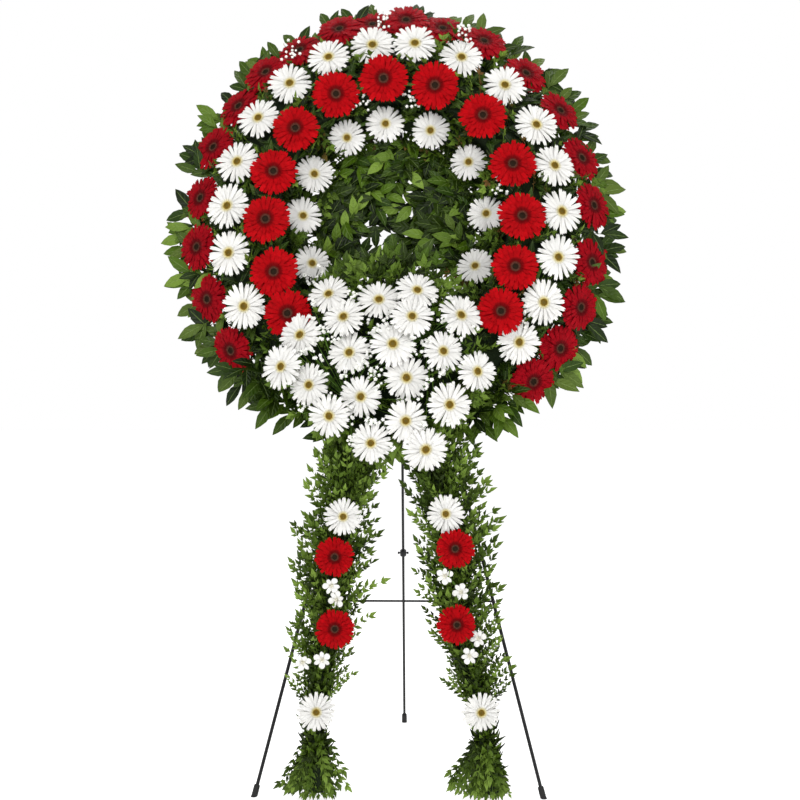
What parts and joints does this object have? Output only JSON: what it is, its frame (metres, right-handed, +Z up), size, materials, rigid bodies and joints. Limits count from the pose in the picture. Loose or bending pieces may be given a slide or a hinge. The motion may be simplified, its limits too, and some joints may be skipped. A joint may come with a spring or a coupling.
{
  "type": "funeral wreath on an easel",
  "caption": "Oval funeral wreath of red and white gerberas on a folding three-legged rod easel, with two hanging leafy garlands.",
  "frame": {"origin": "on the floor, below the middle of the object's width and depth", "axes": "+Z up, -Y the way the wreath faces, +X to the viewer's right"},
  "size_m": [0.9947, 0.6936, 1.6763],
  "materials": {
    "rods": "satin black",
    "pin": "bare steel",
    "feet": "matt",
    "wire": "green florist's wire",
    "foam": "floral foam",
    "greenery": "short greenery over foam",
    "leaves": "semi-gloss leaf",
    "dark_leaves": "semi-gloss leaf",
    "sprigs": "semi-gloss small leaf",
    "white_petals": "soft matt petal",
    "red_petals": "velvety petal",
    "dark_red_petals": "velvety petal"
  },
  "bodies": {
    "wreath_and_front_frame": {"front_leg_left": "rods", "front_leg_right": "rods", "mast_with_bracket": "rods", "cross_brace": "rods", "hinge_pin": "pin", "foot_cap_left": "feet", "foot_cap_right": "feet", "foam_ring": "greenery", "mound_foam": "foam", "outer_red_1": "dark_red_petals", "outer_red_2": "dark_red_petals", "outer_red_3": "dark_red_petals", "outer_red_4": "dark_red_petals", "outer_white_1": "white_petals", "outer_white_2": "white_petals", "outer_white_3": "white_petals", "outer_white_4": "white_petals", "red_1": "red_petals", "red_2": "red_petals", "red_3": "red_petals", "inner_white_1": "white_petals", "inner_white_2": "white_petals", "inner_white_3": "white_petals", "mound_white_1": "white_petals", "mound_white_2": "white_petals", "mound_white_3": "white_petals", "mound_white_4": "white_petals", "mound_white_5": "white_petals", "leaf_collar_1": "leaves", "leaf_collar_2": "dark_leaves", "leaf_collar_3": "leaves", "leaf_collar_4": "dark_leaves", "leaf_collar_5": "leaves", "hole_leaves_1": "dark_leaves", "hole_leaves_2": "leaves", "hole_leaves_3": "dark_leaves", "hole_leaves_4": "leaves", "lower_leaves_left": "leaves", "lower_leaves_right": "dark_leaves", "gypsophila_high": "white_petals", "gypsophila_low": "white_petals", "garland_left": "sprigs", "garland_tie_left": "wire", "garland_left_white_1": "white_petals", "garland_left_white_4": "white_petals", "garland_left_red_2": "red_petals", "garland_left_red_3": "red_petals", "garland_left_alstroemeria_1": "white_petals", "garland_left_alstroemeria_2": "white_petals", "garland_right": "sprigs", "garland_tie_right": "wire", "garland_right_white_1": "white_petals", "garland_right_white_4": "white_petals", "garland_right_red_2": "red_petals", "garland_right_red_3": "red_petals", "garland_right_alstroemeria_1": "white_petals", "garland_right_alstroemeria_2": "white_petals"},
    "rear_leg": {"rear_leg": "rods", "rear_leg_clamp": "rods", "foot_cap_rear": "feet"}
  },
  "joints": [
    {"name": "rear_leg_fold", "type": "hinge", "parent": "wreath_and_front_frame", "child": "rear_leg", "pos_m": [0.014, -0.04321, 1.11428], "axis": [1, 0, 0], "range_deg": [-27, 0]}
  ]
}
